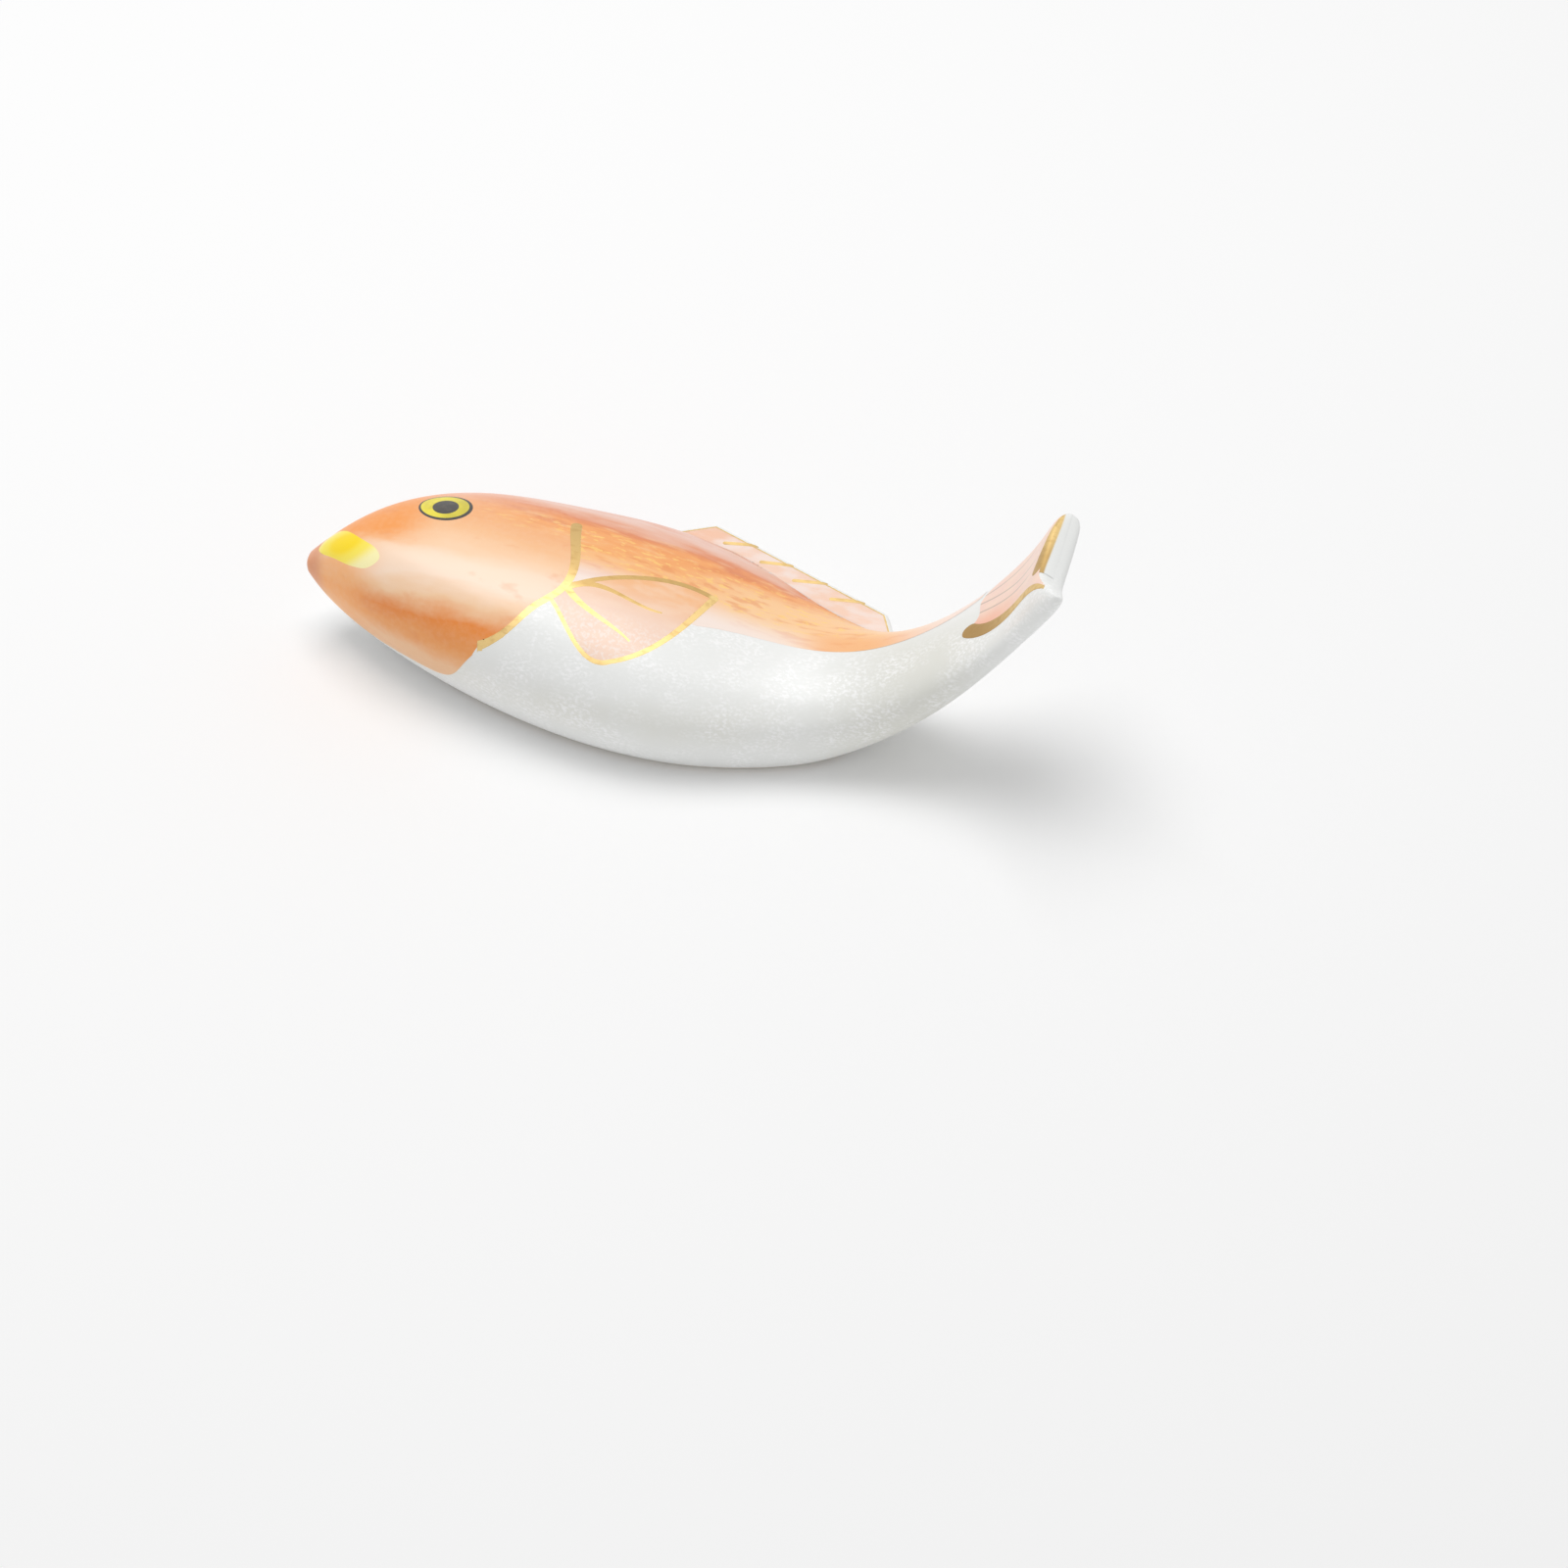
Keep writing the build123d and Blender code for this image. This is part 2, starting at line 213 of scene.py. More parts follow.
def add(tree, kind, inputs=None, stops=None, **settings):
    """Adds a node with its settings, its ramp stops, and values or links for its inputs."""
    made = tree.nodes.new(kind)
    for name, value in settings.items():
        setattr(made, name, value)
    if stops:
        elements = made.color_ramp.elements
        while len(elements) < len(stops):
            elements.new(1.0)
        for element, (position, value) in zip(elements, stops):
            element.position = position
            element.color = value
    for key, value in (inputs or {}).items():
        if isinstance(value, bpy.types.NodeSocket):
            tree.links.new(value, made.inputs[key])
        else:
            made.inputs[key].default_value = value
    return made


def blank(name):
    """A new material with an empty node tree."""
    material = bpy.data.materials.new(name)
    material.use_nodes = True
    material.node_tree.nodes.clear()
    return material


def millimetres(tree):
    """The place on the piece in millimetres from the mouth: the vector, then X, Y and Z."""
    place = add(tree, "ShaderNodeTexCoord").outputs["Object"]
    moved = add(tree, "ShaderNodeVectorMath", {0: place, 1: (MOUTH_X, 0, 0)}, operation="SUBTRACT").outputs[0]
    enlarge = {0: moved, "Scale": 1 / MILLIMETRE}
    scaled = add(tree, "ShaderNodeVectorMath", enlarge, operation="SCALE").outputs[0]
    return scaled, *add(tree, "ShaderNodeSeparateXYZ", {0: scaled}).outputs


def cloud(tree, place, size, stretch=(1, 1, 1), detail=3.0):
    """Noise whose blots are about size millimetres across, drawn out by stretch."""
    scale = tuple(1 / (size * s) for s in stretch)
    drawn = add(tree, "ShaderNodeVectorMath", {0: place, 1: scale}, operation="MULTIPLY").outputs[0]
    return add(tree, "ShaderNodeTexNoise", {"Vector": drawn, "Scale": 1.0, "Detail": detail}).outputs[0]


def mask(tree, *fades, strength=1.0):
    """A share that reaches strength where all fades are full: values with their empty and full ends."""
    share = strength
    for value, empty, full in fades:
        ends = {"Value": value, "From Min": empty, "From Max": full}
        fade = add(tree, "ShaderNodeMapRange", ends, interpolation_type="SMOOTHSTEP").outputs[0]
        share = add(tree, "ShaderNodeMath", {0: share, 1: fade}, operation="MULTIPLY").outputs[0]
    return share


def brush(tree, under, tint, *fades, strength=1.0):
    """A tint laid over what is under it, by a mask."""
    share = mask(tree, *fades, strength=strength)
    return add(tree, "ShaderNodeMix", {0: share, 6: under, 7: tint}, data_type="RGBA").outputs[2]


def bands(tree, value, streak, sway, ends, stops):
    """Bands of colour that sway with the brush streaks: the colour, and 0 to 1 between the ends."""
    wander = add(tree, "ShaderNodeMath", {0: streak, 1: NOISE_MIDDLE}, operation="SUBTRACT").outputs[0]
    bent = add(tree, "ShaderNodeMath", {0: wander, 1: sway, 2: value}, operation="MULTIPLY_ADD").outputs[0]
    first, last = ends
    turn = add(tree, "ShaderNodeMapRange", {"Value": bent, "From Min": first, "From Max": last}).outputs[0]
    return add(tree, "ShaderNodeValToRGB", {0: turn}, stops=stops).outputs[0], turn


def fired(tree, base, roughness, height, metallic=0.0):
    """The fired surface, with its colour, roughness and fine relief."""
    relief = {"Height": height, "Strength": RELIEF_STRENGTH, "Distance": RELIEF_HEIGHT}
    normal = add(tree, "ShaderNodeBump", relief).outputs[0]
    inputs = {"Base Color": base, "Roughness": roughness, "Metallic": metallic, "Normal": normal}
    shader = add(tree, "ShaderNodeBsdfPrincipled", inputs)
    add(tree, "ShaderNodeOutputMaterial", {"Surface": shader.outputs[0]})


def porcelain(settings):
    """Glazed porcelain with a bare foot."""
    # Slip-joined porcelain under a clear glaze: cool white with pearly flecks, with painted greener shade low
    # on the belly and painted grey shade by the wrist
    glaze = settings.glaze
    material = blank("glazed_porcelain")
    tree = material.node_tree
    place, x, y, z = millimetres(tree)
    # Painted shade: greener, in patches of 9 mm, in a band low on the belly
    painted_shade_band = ((z, 2.5, 6.0), (z, 9.5, 6.5), (y, -3.5, -6.0))
    shade_patches = (cloud(tree, place, size=9.0), 0.30, 0.70)
    base = brush(tree, glaze.glaze, glaze.shade, *painted_shade_band, shade_patches)
    # Painted shade: greyer on the belly's side of the wrist, in front of the tail
    wrist = ((x, 46.0, 57.0), (x, 66.0, 59.0), (y, 3.0, -2.0))
    base = brush(tree, base, linear("#DAD9CE"), *wrist, strength=0.6)
    # Pearly flecks of about 0.25 mm, in drifts of 3 mm on the belly's side
    drifts = (cloud(tree, place, size=3.0), 0.30, 0.65)
    belly_side = (y, 1.0, -3.0)
    flecks = (cloud(tree, place, size=0.24, stretch=(1.5, 1, 1)), 0.42, 0.68)
    base = brush(tree, base, linear("#FFFFFF"), drifts, belly_side, flecks, strength=0.8)
    # A brown line where the glaze ends, and under it the bare clay with its grit of 0.25 mm
    glaze_end = ((z, 0.16, 0.30), (z, 0.62, 0.36))
    base = brush(tree, base, glaze.glaze_line, *glaze_end, strength=0.6)
    grit = (cloud(tree, place, size=0.25), 0.35, 0.75)
    clay = brush(tree, glaze.clay, linear("#E6E2D5"), grit)
    foot = (z, 0.30, 0.16)
    base = brush(tree, base, clay, foot)
    ends = {"Value": mask(tree, foot), "To Min": GLAZE_ROUGHNESS, "To Max": CLAY_ROUGHNESS}
    roughness = add(tree, "ShaderNodeMapRange", ends).outputs[0]
    fired(tree, base, roughness, height=cloud(tree, place, size=2.5, detail=1.0))
    return material


def back_streak(tree, place):
    """Brush streaks of 1.3 mm, drawn out along the back."""
    return cloud(tree, place, size=1.3, stretch=(5.0, 1, 1))


def back_colour(tree, wash, place, x, y):
    """The wash along the back: reddish at the ridge, streaked with orange and gold below it."""
    stops = [
        (0.12, linear("#F9D3B5")),
        (0.23, wash.peach),
        (0.34, linear("#FABE82")),
        (0.44, wash.orange),
        (0.54, linear("#F5A662")),
        (0.61, wash.ridge),
        (0.67, linear("#EAB094")),
        (0.77, linear("#EEC6B6")),
        (0.86, linear("#E49A78")),
        (0.93, wash.rim),
    ]
    base, _ = bands(tree, y, back_streak(tree, place), sway=4.5, ends=(-4.0, 14.0), stops=stops)
    # Paler below the ridge, beside the dorsal fin
    beside_fin = ((x, 33.0, 41.0), (y, 6.0, 4.0))
    base = brush(tree, base, linear("#FDD4A4"), *beside_fin, strength=0.75)
    # Dark and light brush strokes, 0.7 mm wide and some millimetres long
    strokes = cloud(tree, place, size=0.7, stretch=(6.0, 1, 1))
    below_ridge = (y, 8.0, 6.5)
    dark_strokes = (strokes, 0.52, 0.68)
    base = brush(tree, base, linear("#E3854A"), dark_strokes, below_ridge, strength=0.45)
    light_strokes = (strokes, 0.48, 0.32)
    base = brush(tree, base, linear("#FACB96"), light_strokes, below_ridge, strength=0.45)
    # Gold flecks, about 0.3 mm high and 1 mm long, in a band between hem and ridge
    flecks = (cloud(tree, place, size=0.34, stretch=(3.4, 1, 1)), 0.54, 0.64)
    fleck_band = ((y, -0.2, 2.0), (y, 7.0, 5.0), (x, 57.0, 47.0))
    return brush(tree, base, wash.fleck, flecks, *fleck_band, strength=0.7)


def brushed_head(settings):
    """The wash on the head."""
    # Iron-orange overglaze wash, brushed: streaky, thin and pale on the cheek, thick along jaw and ridge
    wash = settings.wash
    material = blank("orange_wash_head")
    tree = material.node_tree
    place, x, y, z = millimetres(tree)
    # The angle around the spine, from the back over the top to the belly
    height = add(tree, "ShaderNodeMath", {0: z, 1: SPINE_LEVEL}, operation="SUBTRACT").outputs[0]
    belly = add(tree, "ShaderNodeMath", {0: y, 1: -1.0}, operation="MULTIPLY").outputs[0]
    around = add(tree, "ShaderNodeMath", {0: belly, 1: height}, operation="ARCTAN2").outputs[0]
    # Brush streaks of 1.6 mm, drawn out along the head
    streak = cloud(tree, place, size=1.6, stretch=(3.5, 1, 1))
    stops = [
        (0.00, wash.rim),
        (0.15, linear("#EBAF95")),
        (0.25, linear("#F3B89E")),
        (0.35, linear("#F4B07A")),
        (0.45, linear("#F8C08E")),
        (0.52, linear("#FBD0A8")),
        (0.58, linear("#FCDDC2")),
        (0.64, wash.cheek),
        (0.69, linear("#F7CCA2")),
        (0.75, wash.jaw),
        (0.82, linear("#F2A158")),
        (0.89, linear("#F4C294")),
    ]
    base, turn = bands(tree, around, streak, sway=0.35, ends=(radians(-120), radians(120)), stops=stops)
    # Stronger orange around the mouth and over the brow, and brown lips
    mouth = ((x, 9.0, 3.5), (turn, 0.50, 0.62))
    base = brush(tree, base, linear("#FFB062"), *mouth, strength=0.8)
    brow = ((x, 12.5, 7.5), (turn, 0.56, 0.48))
    base = brush(tree, base, linear("#F69C48"), *brow, strength=0.95)
    lips = (x, 2.0, 0.4)
    base = brush(tree, base, linear("#E39A74"), lips, strength=0.85)
    # The back's colours run on to the head behind the eye
    nape = ((x, 9.0, 23.0), (y, 2.5, 5.5))
    base = brush(tree, base, back_colour(tree, wash, place, x, y), *nape)
    # Darker blots of 2 mm and a faint mottle of 0.5 mm
    blots = (cloud(tree, place, size=2.0, stretch=(1.6, 1, 1)), 0.60, 0.76)
    base = brush(tree, base, linear("#EB9456"), blots, strength=0.35)
    mottle = (cloud(tree, place, size=0.5), 0.35, 0.75)
    base = brush(tree, base, wash.cheek, mottle, strength=0.08)
    fired(tree, base, roughness=0.34, height=streak)
    return material


def brushed_back(settings):
    """The wash along the back."""
    # Iron-orange wash with flecks of gold: reddish along the ridge, pale towards its hem and the tail
    material = blank("orange_wash_back")
    tree = material.node_tree
    place, x, y, _ = millimetres(tree)
    base = back_colour(tree, settings.wash, place, x, y)
    hem = ((y, 2.2, -1.2), (x, 52.0, 42.0))
    base = brush(tree, base, linear("#FAE9DF"), *hem)
    wrist = ((y, 2.5, 0.5), (x, 45.0, 49.0))
    base = brush(tree, base, linear("#F7B273"), *wrist, strength=0.7)
    tail = (x, 52.0, 60.0)
    base = brush(tree, base, linear("#FAE4D8"), tail, strength=0.95)
    fired(tree, base, roughness=0.30, height=back_streak(tree, place))
    return material


def brushed_pectoral(settings):
    """The wash of the painted pectoral fin."""
    # Thin rose wash with frosted white specks of 0.3 mm, stronger along the upper edge
    wash = settings.wash
    material = blank("rose_wash_pectoral")
    tree = material.node_tree
    place, _, y, _ = millimetres(tree)
    upper_edge = (y, -4.0, 1.0)
    base = brush(tree, linear("#F8D8C4"), linear("#F7BC88"), upper_edge)
    streak = cloud(tree, place, size=1.2, stretch=(2.5, 1, 1))
    pale_streaks = (streak, 0.4, 0.7)
    base = brush(tree, base, wash.cheek, pale_streaks, strength=0.4)
    specks = (cloud(tree, place, size=0.3), 0.46, 0.64)
    lower_half = (y, -2.5, -6.0)
    base = brush(tree, base, wash.frost, specks, lower_half, strength=0.5)
    fired(tree, base, roughness=0.32, height=streak)
    return material


def brushed_dorsal(settings):
    """The wash on the dorsal fin."""
    # Thin peach wash in streaks of 1 mm, orange at the front of the fin and rosy along its foot
    material = blank("rose_wash_dorsal")
    tree = material.node_tree
    place, x, y, _ = millimetres(tree)
    streak = cloud(tree, place, size=1.0, stretch=(2.5, 1, 1))
    thick_streaks = (streak, 0.35, 0.65)
    base = brush(tree, linear("#F6E2D8"), settings.wash.dorsal, thick_streaks)
    front = ((x, 39.0, 35.0), (streak, 0.30, 0.55))
    base = brush(tree, base, linear("#F0A46C"), *front, strength=0.25)
    slant = {0: x, 1: FIN_FOOT_SLANT, 2: y}
    out = add(tree, "ShaderNodeMath", slant, operation="MULTIPLY_ADD").outputs[0]
    foot = (out, 26.6, 25.4)
    base = brush(tree, base, linear("#E2CBC6"), foot, strength=0.7)
    fired(tree, base, roughness=0.30, height=streak)
    return material


def brushed_tail(settings):
    """The wash on the inner face of the tail."""
    # Thin rose wash in streaks of 1 mm, peach in its lower corner, with thin grey rays drawn along it
    wash = settings.wash
    material = blank("rose_wash_tail")
    tree = material.node_tree
    place, _, y, z = millimetres(tree)
    streak = cloud(tree, place, size=1.0, stretch=(1, 1, 3.0))
    pale_streaks = (streak, 0.35, 0.7)
    base = brush(tree, wash.pink, wash.cheek, pale_streaks, strength=0.5)
    lower_corner = ((z, 23.0, 16.5), (y, 1.0, -1.6))
    base = brush(tree, base, linear("#F6AE8C"), *lower_corner, strength=0.8)
    climb = add(tree, "ShaderNodeMath", {0: z, 1: RAY_FOOT}, operation="SUBTRACT").outputs[0]
    for start, slope, top in TAIL_RAYS:
        rise = {0: climb, 1: slope, 2: start}
        line = add(tree, "ShaderNodeMath", rise, operation="MULTIPLY_ADD").outputs[0]
        aside = add(tree, "ShaderNodeMath", {0: y, 1: line}, operation="SUBTRACT").outputs[0]
        apart = add(tree, "ShaderNodeMath", {0: aside}, operation="ABSOLUTE").outputs[0]
        ray = ((apart, 0.14, 0.06), (z, top, top - RAY_FADE))
        base = brush(tree, base, wash.ray, *ray, strength=0.6)
    fired(tree, base, roughness=0.32, height=streak)
    return material


def snout_enamel(settings):
    """The yellow patch on the snout."""
    # Opaque yellow enamel, bright in the middle and thinning to pale at its edge
    face = settings.face
    material = blank("yellow_enamel_snout")
    tree = material.node_tree
    place, *_ = millimetres(tree)
    moved = add(tree, "ShaderNodeVectorMath", {0: place, 1: SNOUT_MIDDLE}, operation="SUBTRACT").outputs[0]
    drawn = add(tree, "ShaderNodeVectorMath", {0: moved, 1: SNOUT_SPREAD}, operation="MULTIPLY").outputs[0]
    away = add(tree, "ShaderNodeVectorMath", {0: drawn}, operation="LENGTH").outputs["Value"]
    around_middle = (away, 0.7, 1.5)
    base = brush(tree, face.yellow, linear("#FFEA58"), around_middle)
    patch_edge = (away, 1.5, 2.6)
    base = brush(tree, base, face.pale, patch_edge)
    fired(tree, base, roughness=0.30, height=cloud(tree, place, size=1.5))
    return material


def iris_enamel(settings):
    """The yellow ring of the eye."""
    # Opaque yellow enamel in blots of 0.9 mm, greener to the rear where it thins over the ink
    material = blank("yellow_enamel_iris")
    tree = material.node_tree
    place, x, _, _ = millimetres(tree)
    blots = (cloud(tree, place, size=0.9), 0.40, 0.70)
    base = brush(tree, settings.face.iris, linear("#CDBC2C"), blots, strength=0.5)
    rear = (x, 10.6, 14.0)
    base = brush(tree, base, linear("#C2B32E"), rear, strength=0.6)
    fired(tree, base, roughness=0.12, height=mask(tree, blots))
    return material


def eye_ink(settings):
    """The dark lines of the eye."""
    # Iron-black overglaze ink: charcoal with a brown cast, in spots of 0.6 mm where the brush ran dry
    material = blank("black_ink_eye")
    tree = material.node_tree
    place, *_ = millimetres(tree)
    dry = (cloud(tree, place, size=0.6), 0.45, 0.75)
    base = brush(tree, settings.face.ink, linear("#5A5246"), dry, strength=0.5)
    fired(tree, base, roughness=0.16, height=mask(tree, dry))
    return material


def dark_reflection_gill(tree, x, y, z):
    """The gill line is olive at its top, as painted dark reflection."""
    return [(y, -1.8, 0.6)]


def dark_reflection_pectoral(tree, x, y, z):
    """The pectoral fin's top line and upper ray are olive, as painted dark reflection, not its rear edge."""
    lean = {0: y, 1: PECTORAL_SLANT, 2: x}
    rear = add(tree, "ShaderNodeMath", lean, operation="MULTIPLY_ADD").outputs[0]
    return [(y, -2.8, -1.2), (rear, 36.6, 36.2)]


def olive_dorsal_rays(tree, x, y, z):
    """The dorsal fin's rays are a little olive, not its rear edge."""
    return [(x, 53.0, 50.0)]


def dark_reflection_tail_edge(tree, x, y, z):
    """The tail's edge is olive in its lower corner, as painted dark reflection."""
    return [(z, 22.0, 16.0)]


def olive_lobe_edge(tree, x, y, z):
    """The upper lobe's edge is olive next to the fork."""
    return [(y, 3.5, -0.5)]


# Where each gilding is olive, and how olive it is there; on the gill, the pectoral fin and the tail's edge
# this is painted dark reflection
GILDINGS = {
    "gill_gilding": (dark_reflection_gill, 0.45),
    "pectoral_fin_gilding": (dark_reflection_pectoral, 0.63),
    "dorsal_fin_gilding": (olive_dorsal_rays, 0.135),
    "tail_edge_gilding": (dark_reflection_tail_edge, 0.9),
    "tail_lobe_gilding": (olive_lobe_edge, 0.63),
}


def worn_lobe(tree, place, y):
    """On the edge of the upper lobe the gold is worn off at the bottom, and higher up next to the fork."""
    moved = add(tree, "ShaderNodeVectorMath", {0: place, 1: TAIL_END}, operation="SUBTRACT").outputs[0]
    across = add(tree, "ShaderNodeVectorMath", {0: moved, 1: TAIL_NORMAL}, operation="DOT_PRODUCT")
    level = {0: y, 1: WORN_SLOPE, 2: WORN_LEVEL}
    low = add(tree, "ShaderNodeMath", level, operation="MULTIPLY_ADD").outputs[0]
    above = {0: across.outputs["Value"], 1: low}
    edge = add(tree, "ShaderNodeMath", above, operation="SUBTRACT").outputs[0]
    return (edge, 0.1, -0.1)


def gold(settings, node):
    """Burnished gold of one gilding, olive in the places its table names, partly as painted dark reflection,
    and partly worn off the tail's upper lobe.
    """
    # Liquid gold burnished by hand: bright, olive in set places (painted dark reflection on the gill,
    # pectoral fin and tail's edge), with brush marks of 0.5 mm
    gilding = settings.gilding
    material = blank("burnished_gold_" + node.removesuffix("_gilding"))
    tree = material.node_tree
    place, x, y, z = millimetres(tree)
    # Olive where the table says: painted dark reflection on the gill, the pectoral fin and the tail's edge
    thin, strength = GILDINGS[node]
    base = brush(tree, gilding.bright, gilding.olive, *thin(tree, x, y, z), strength=strength)
    marks = cloud(tree, place, size=0.5, stretch=(2.0, 1, 1))
    olive_marks = (marks, 0.48, 0.72)
    base = brush(tree, base, gilding.olive, olive_marks, strength=0.35)
    smooth, rough = GOLD_ROUGHNESS
    ends = {"Value": marks, "To Min": smooth, "To Max": rough}
    roughness = add(tree, "ShaderNodeMapRange", ends).outputs[0]
    metallic = GOLD_METALLIC
    if node == "tail_lobe_gilding":
        worn = worn_lobe(tree, place, y)
        base = brush(tree, base, settings.glaze.glaze, worn)
        left = {"Value": mask(tree, worn), "To Min": GOLD_METALLIC, "To Max": 0.0}
        metallic = add(tree, "ShaderNodeMapRange", left).outputs[0]
    fired(tree, base, roughness, marks, metallic)
    return material


def plain_mesh(name, shape):
    """A piece at the origin from a bmesh, smooth shaded."""
    mesh = bpy.data.meshes.new(name)
    shape.to_mesh(mesh)
    shape.free()
    mesh.shade_smooth()
    piece = bpy.data.objects.new(name, mesh)
    bpy.context.scene.collection.objects.link(piece)
    return piece


def merged(names):
    """The CAD nodes' meshes with their loose triangles joined."""
    shape = bmesh.new()
    for name in names:
        shape.from_mesh(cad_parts[name].data)
    bmesh.ops.remove_doubles(shape, verts=shape.verts, dist=WELD)
    return shape


def settle(piece):
    """Applies the piece's modifiers to its mesh."""
    graph = bpy.context.evaluated_depsgraph_get()
    mesh = bpy.data.meshes.new_from_object(piece.evaluated_get(graph))
    piece.modifiers.clear()
    piece.data = mesh


def declare(piece, nodes, material):
    """Gives a piece its material and its body, and hides the nodes it stands for."""
    piece.data.materials.clear()
    piece.data.materials.append(material)
    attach(piece, BODY)
    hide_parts(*nodes)


class FISH_REST_OT_porcelain(bpy.types.Operator):
    """Adds the porcelain: the joined clay with softened edges"""

    bl_idname = "fish_rest.porcelain"
    bl_label = "Add porcelain"

    def execute(self, context):
        settings = context.scene.fish_rest
        piece = plain_mesh("porcelain", merged(CLAY_NODES))
        skin = piece.modifiers.new("Skin", "REMESH")
        skin.mode = "VOXEL"
        skin.voxel_size = settings.glaze.skin_step
        skin.use_smooth_shade = True
        soft = piece.modifiers.new("Soft", "SMOOTH")
        soft.factor = SMOOTHING
        soft.iterations = settings.glaze.softening
        settle(piece)
        tail = piece.vertex_groups.new(name="tail")
        for vertex in piece.data.vertices:
            behind = (vertex.co.x - MOUTH_X) / MILLIMETRE - TAIL_START
            if behind > 0:
                tail.add([vertex.index], min(behind / TAIL_BLEND, 1.0), "REPLACE")
        round_off = piece.modifiers.new("Round", "SMOOTH")
        round_off.factor = SMOOTHING
        round_off.iterations = settings.glaze.tail_softening
        round_off.vertex_group = "tail"
        settle(piece)
        piece.data.shade_smooth()
        declare(piece, CLAY_NODES, porcelain(settings))
        return {"FINISHED"}


def press(shape, height, reach):
    """Lays a coat's mesh on the porcelain: what is farther than reach from the clay stands out by height."""
    skin = bmesh.new()
    skin.from_mesh(bpy.data.objects["porcelain"].data)
    near = BVHTree.FromBMesh(skin)
    skin.free()
    clay = merged(CLAY_NODES)
    bare = BVHTree.FromBMesh(clay)
    clay.free()
    bmesh.ops.triangulate(shape, faces=shape.faces)
    for _ in range(COAT_SPLITS):
        long = [edge for edge in shape.edges if edge.calc_length() > COAT_STEP]
        bmesh.ops.subdivide_edges(shape, edges=long, cuts=1)
        bmesh.ops.triangulate(shape, faces=shape.faces)
    for vertex in shape.verts:
        distance = bare.find_nearest(vertex.co)[3]
        place, outward = near.find_nearest(vertex.co)[:2]
        vertex.co = place + outward * (height if distance > reach else -COAT_SUNK)


def coat(node, material, height, reach):
    """A coat from its CAD node, laid on the porcelain and shaded as the porcelain under it is."""
    shape = merged([node])
    press(shape, height, reach)
    piece = plain_mesh(node + "_coat", shape)
    lie = piece.modifiers.new("Lie", "DATA_TRANSFER")
    lie.object = bpy.data.objects["porcelain"]
    lie.use_loop_data = True
    lie.data_types_loops = {"CUSTOM_NORMAL"}
    lie.loop_mapping = "POLYINTERP_NEAREST"
    settle(piece)
    declare(piece, [node], material)


class FISH_REST_OT_washes(bpy.types.Operator):
    """Adds the brushed washes on head, back and fins"""

    bl_idname = "fish_rest.washes"
    bl_label = "Add washes"

    def execute(self, context):
        settings = context.scene.fish_rest
        washes = {
            "head_enamel": brushed_head,
            "back_enamel": brushed_back,
            "pectoral_fin_enamel": brushed_pectoral,
            "dorsal_fin_enamel": brushed_dorsal,
            "tail_fin_enamel": brushed_tail,
        }
        for node, brushed in washes.items():
            coat(node, brushed(settings), WASH_HEIGHT, WASH_UPPER)
        return {"FINISHED"}


class FISH_REST_OT_face(bpy.types.Operator):
    """Adds the snout patch and the eye"""

    bl_idname = "fish_rest.face"
    bl_label = "Add face"

    def execute(self, context):
        settings = context.scene.fish_rest
        ink = eye_ink(settings)
        enamels = {
            "snout_enamel": snout_enamel(settings),
            "eye_outline": ink,
            "eye_iris": iris_enamel(settings),
            "eye_pupil": ink,
        }
        for node, material in enamels.items():
            coat(node, material, WASH_HEIGHT, WASH_UPPER)
        return {"FINISHED"}


class FISH_REST_OT_gilding(bpy.types.Operator):
    """Adds the gold lines"""

    bl_idname = "fish_rest.gilding"
    bl_label = "Add gilding"

    def execute(self, context):
        settings = context.scene.fish_rest
        for node in GILDINGS:
            coat(node, gold(settings, node), GOLD_HEIGHT, GOLD_UPPER)
        return {"FINISHED"}


def aim(piece, place, target):
    """Sets a lamp or a camera at its place, turned to a target."""
    piece.location = place
    towards = Vector(target) - piece.location
    piece.rotation_euler = towards.to_track_quat("-Z", "Y").to_euler()
    bpy.context.scene.collection.objects.link(piece)


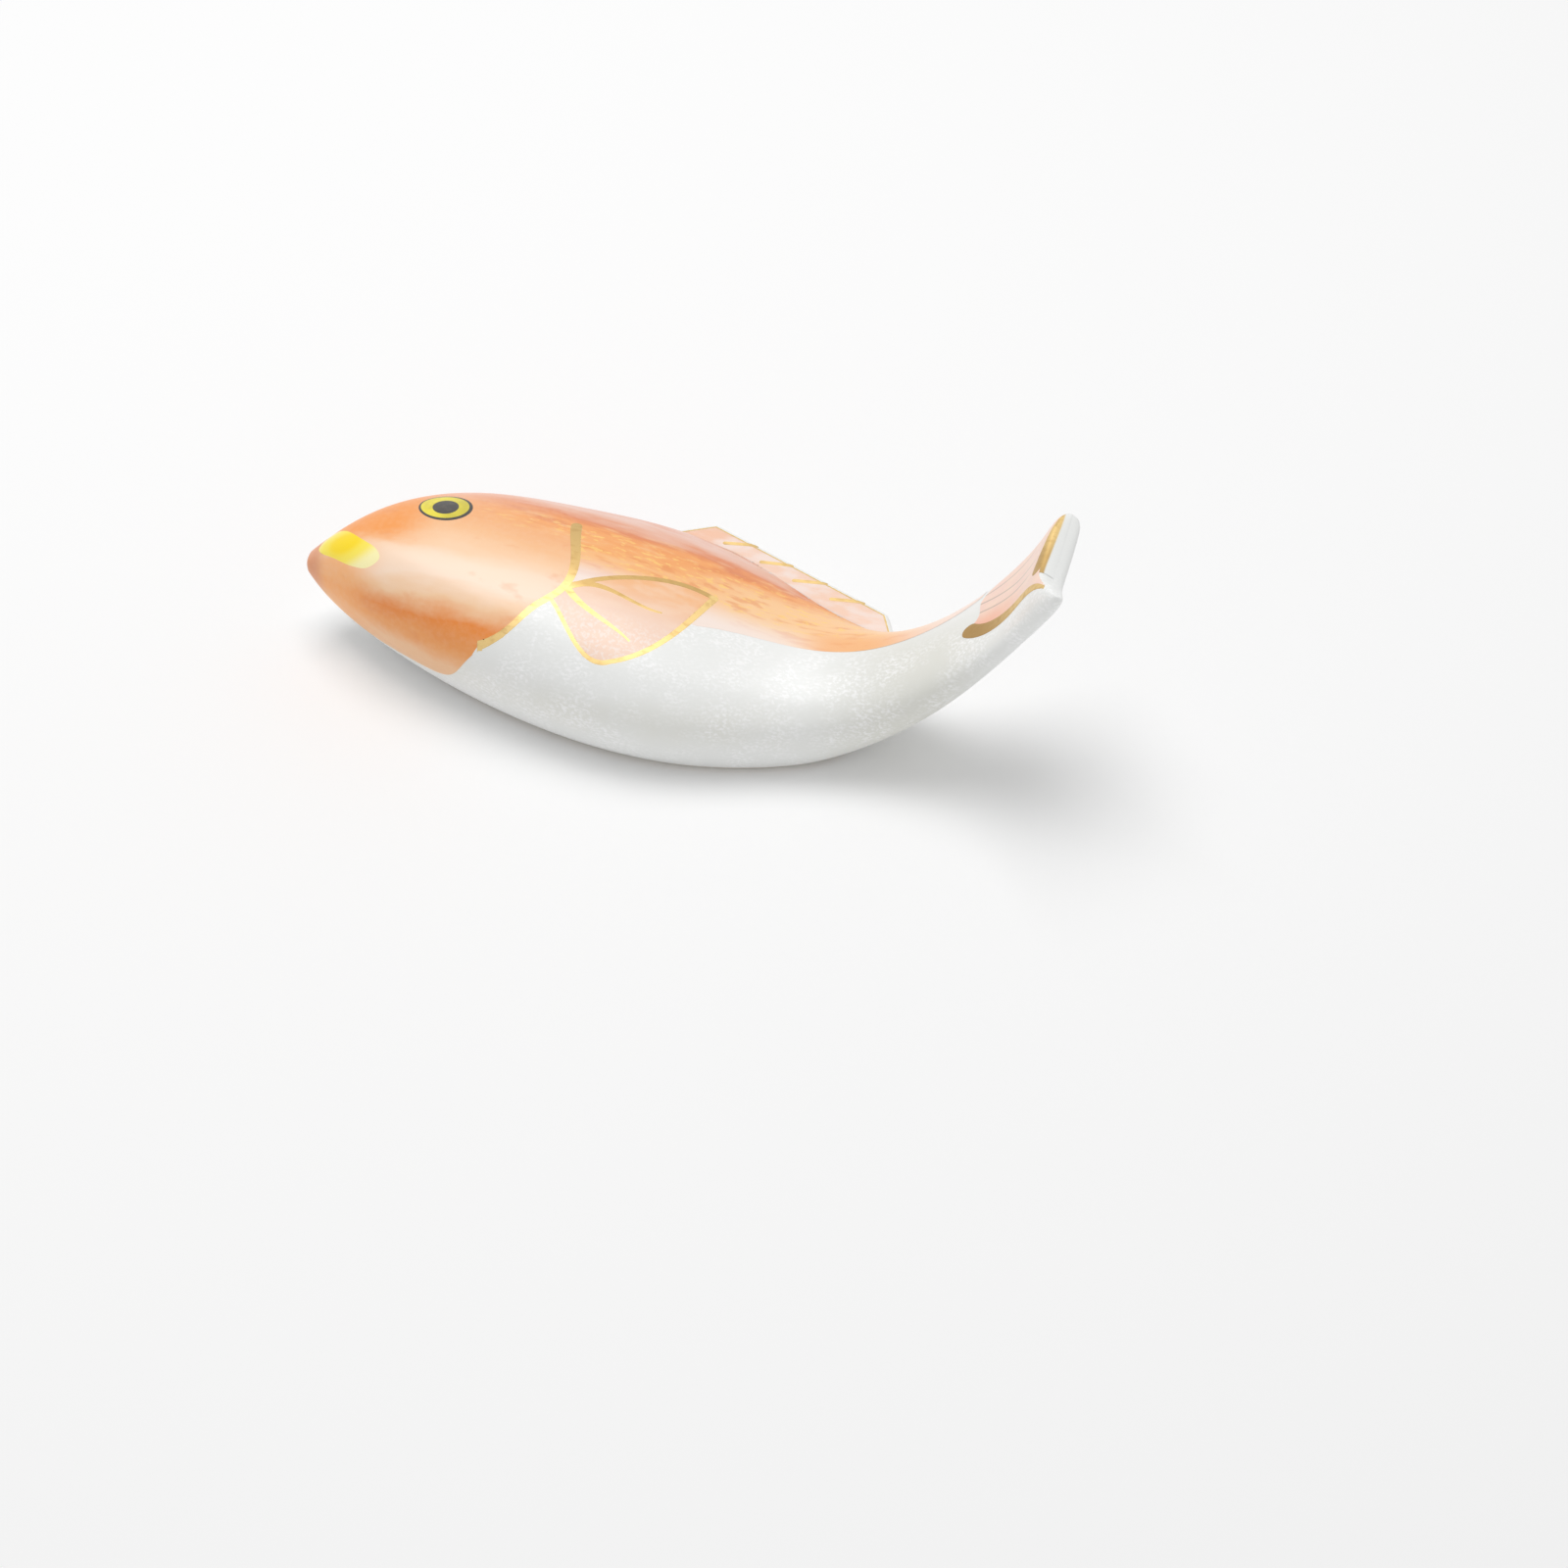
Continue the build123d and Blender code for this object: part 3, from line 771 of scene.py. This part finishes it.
class FISH_REST_OT_stage(bpy.types.Operator):
    """Adds the floor, the light and the camera"""

    bl_idname = "fish_rest.stage"
    bl_label = "Add stage"

    def execute(self, context):
        scene = context.scene
        stage = scene.fish_rest.stage
        shape = bmesh.new()
        bmesh.ops.create_grid(shape, x_segments=1, y_segments=1, size=FLOOR_REACH)
        floor = plain_mesh("floor", shape)
        # Matt paper: pale and without gloss
        paper = blank("matt_paper")
        tree = paper.node_tree
        surface = add(tree, "ShaderNodeBsdfDiffuse", {"Color": stage.floor})
        add(tree, "ShaderNodeOutputMaterial", {"Surface": surface.outputs[0]})
        floor.data.materials.append(paper)

        # The surroundings are full white to the eye and in reflections, and light the rest less strongly
        world = bpy.data.worlds.new("white_studio")
        world.use_nodes = True
        tree = world.node_tree
        tree.nodes.clear()
        path = add(tree, "ShaderNodeLightPath").outputs
        seen = path["Is Camera Ray"]
        for ray in ("Is Glossy Ray", "Is Transmission Ray"):
            seen = add(tree, "ShaderNodeMath", {0: seen, 1: path[ray]}, operation="MAXIMUM").outputs[0]
        strength = add(tree, "ShaderNodeMapRange", {"Value": seen, "To Min": stage.sky, "To Max": 1.0})
        white = {"Color": linear("#FFFFFF"), "Strength": strength.outputs[0]}
        sky = add(tree, "ShaderNodeBackground", white)
        add(tree, "ShaderNodeOutputWorld", {"Surface": sky.outputs[0]})
        scene.world = world

        lamp = bpy.data.lights.new("softbox", "AREA")
        lamp.shape = "SQUARE"
        lamp.size = stage.softbox_size
        lamp.energy = stage.softbox_power
        aim(bpy.data.objects.new("softbox", lamp), stage.softbox_place, target=(0, 0, 0))

        lens = bpy.data.cameras.new("camera")
        lens.sensor_fit = "AUTO"
        lens.angle = stage.camera_angle
        lens.clip_start = NEAREST_SEEN
        camera = bpy.data.objects.new("camera", lens)
        aim(camera, stage.camera_place, target=stage.camera_target)
        scene.camera = camera
        scene.view_settings.view_transform = "Standard"
        return {"FINISHED"}


STEPS = (
    FISH_REST_OT_porcelain,
    FISH_REST_OT_washes,
    FISH_REST_OT_face,
    FISH_REST_OT_gilding,
    FISH_REST_OT_stage,
)


class FISH_REST_PT_panel(bpy.types.Panel):
    """Lists the steps of the rest."""

    bl_idname = "FISH_REST_PT_panel"
    bl_label = "Fish rest"
    bl_space_type = "VIEW_3D"
    bl_region_type = "UI"
    bl_category = "Fish rest"

    def draw(self, context):
        for step in STEPS:
            self.layout.operator(step.bl_idname)


CLASSES = (
    GlazeSettings,
    WashSettings,
    FaceSettings,
    GildingSettings,
    StageSettings,
    FishRestSettings,
    *STEPS,
    FISH_REST_PT_panel,
)


def register():
    for each in CLASSES:
        bpy.utils.register_class(each)
    bpy.types.Scene.fish_rest = bpy.props.PointerProperty(type=FishRestSettings)


def unregister():
    del bpy.types.Scene.fish_rest
    for each in reversed(CLASSES):
        bpy.utils.unregister_class(each)


def main():
    register()
    bpy.ops.fish_rest.porcelain()
    bpy.ops.fish_rest.washes()
    bpy.ops.fish_rest.face()
    bpy.ops.fish_rest.gilding()
    bpy.ops.fish_rest.stage()


if __name__ == "__main__":
    main()
